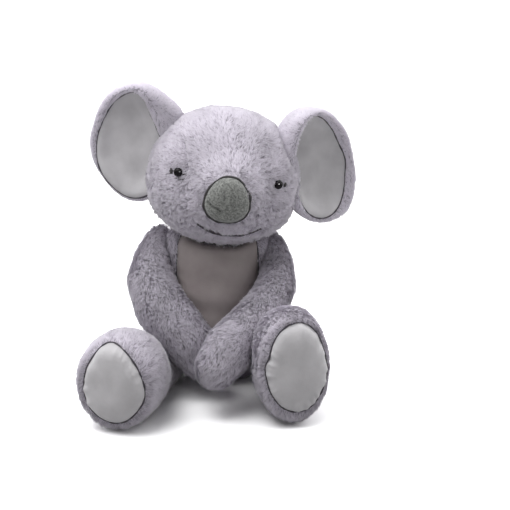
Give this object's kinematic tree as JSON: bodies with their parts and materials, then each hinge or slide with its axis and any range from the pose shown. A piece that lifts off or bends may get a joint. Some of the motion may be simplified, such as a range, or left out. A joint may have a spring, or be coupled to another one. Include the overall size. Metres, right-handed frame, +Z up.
{
  "type": "plush koala",
  "caption": "Seated stuffed koala with fur covers, velour ear, belly and foot panels, padded nose and locked eyes; head, ears, arms and legs flex at their seams.",
  "frame": {"origin": "on the floor, in the flat pressed middle of the seat", "axes": "+Z up; the face and the feet point along -Y; the koala's own left side is +X"},
  "size_m": [0.2821, 0.2268, 0.321],
  "materials": {
    "fur": "pale lavender-grey plush fur, pile about 9 mm",
    "velour": "light grey short-pile velour with a slight sheen",
    "nose_cloth": "mid-grey short-pile cloth",
    "wadding": "white polyester stuffing",
    "pellet_cloth": "woven pouch filled with plastic pellets",
    "eye_gloss": "black, high gloss",
    "washer": "plain moulded"
  },
  "bodies": {
    "body": {"torso_cover": "fur", "belly_panel": "velour", "torso_stuffing": "wadding", "seat_pouch": "pellet_cloth"},
    "head": {"head_cover": "fur", "head_stuffing": "wadding", "nose_cover": "nose_cloth", "nose_stuffing": "wadding", "left_eye": "eye_gloss", "right_eye": "eye_gloss", "left_eye_washer": "washer", "right_eye_washer": "washer"},
    "left_ear": {"left_ear_back": "fur", "left_ear_lining": "velour", "left_ear_wadding": "wadding"},
    "right_ear": {"right_ear_back": "fur", "right_ear_lining": "velour", "right_ear_wadding": "wadding"},
    "left_arm": {"left_arm_cover": "fur", "left_arm_stuffing": "wadding"},
    "right_arm": {"right_arm_cover": "fur", "right_arm_stuffing": "wadding"},
    "left_leg": {"left_leg_cover": "fur", "left_sole": "velour", "left_leg_stuffing": "wadding"},
    "right_leg": {"right_leg_cover": "fur", "right_sole": "velour", "right_leg_stuffing": "wadding"}
  },
  "joints": [
    {"name": "head_turn", "type": "hinge", "parent": "body", "child": "head", "pos_m": [0, 0, 0.181], "axis": [0, 0, 1], "range_deg": [-12, 12], "stiffness_Nm_per_rad": 0.4},
    {"name": "left_ear_flex", "type": "hinge", "parent": "head", "child": "left_ear", "pos_m": [0.07582, -0.00075, 0.24022], "axis": [0.1219, 0, 0.9925], "range_deg": [-10, 10], "stiffness_Nm_per_rad": 0.2},
    {"name": "right_ear_flex", "type": "hinge", "parent": "head", "child": "right_ear", "pos_m": [-0.05677, -0.01126, 0.2565], "axis": [-0.1219, 0, -0.9925], "range_deg": [-10, 10], "stiffness_Nm_per_rad": 0.2},
    {"name": "left_arm_lift", "type": "hinge", "parent": "body", "child": "left_arm", "pos_m": [0.05692, -0.00336, 0.1517], "axis": [-1, 0, 0], "range_deg": [0, 30], "stiffness_Nm_per_rad": 0.1},
    {"name": "right_elbow_swing", "type": "hinge", "parent": "body", "child": "right_arm", "pos_m": [-0.0616, 0.00112, 0.15674], "axis": [-0.3316, 0.4493, 0.8295], "range_deg": [0, 16], "stiffness_Nm_per_rad": 0.15},
    {"name": "left_leg_splay", "type": "hinge", "parent": "body", "child": "left_leg", "pos_m": [0.055, -0.004, 0.028], "axis": [0, 0, 1], "range_deg": [0, 12], "stiffness_Nm_per_rad": 0.2},
    {"name": "right_leg_splay", "type": "hinge", "parent": "body", "child": "right_leg", "pos_m": [-0.055, -0.004, 0.028], "axis": [0, 0, -1], "range_deg": [0, 12], "stiffness_Nm_per_rad": 0.2}
  ]
}
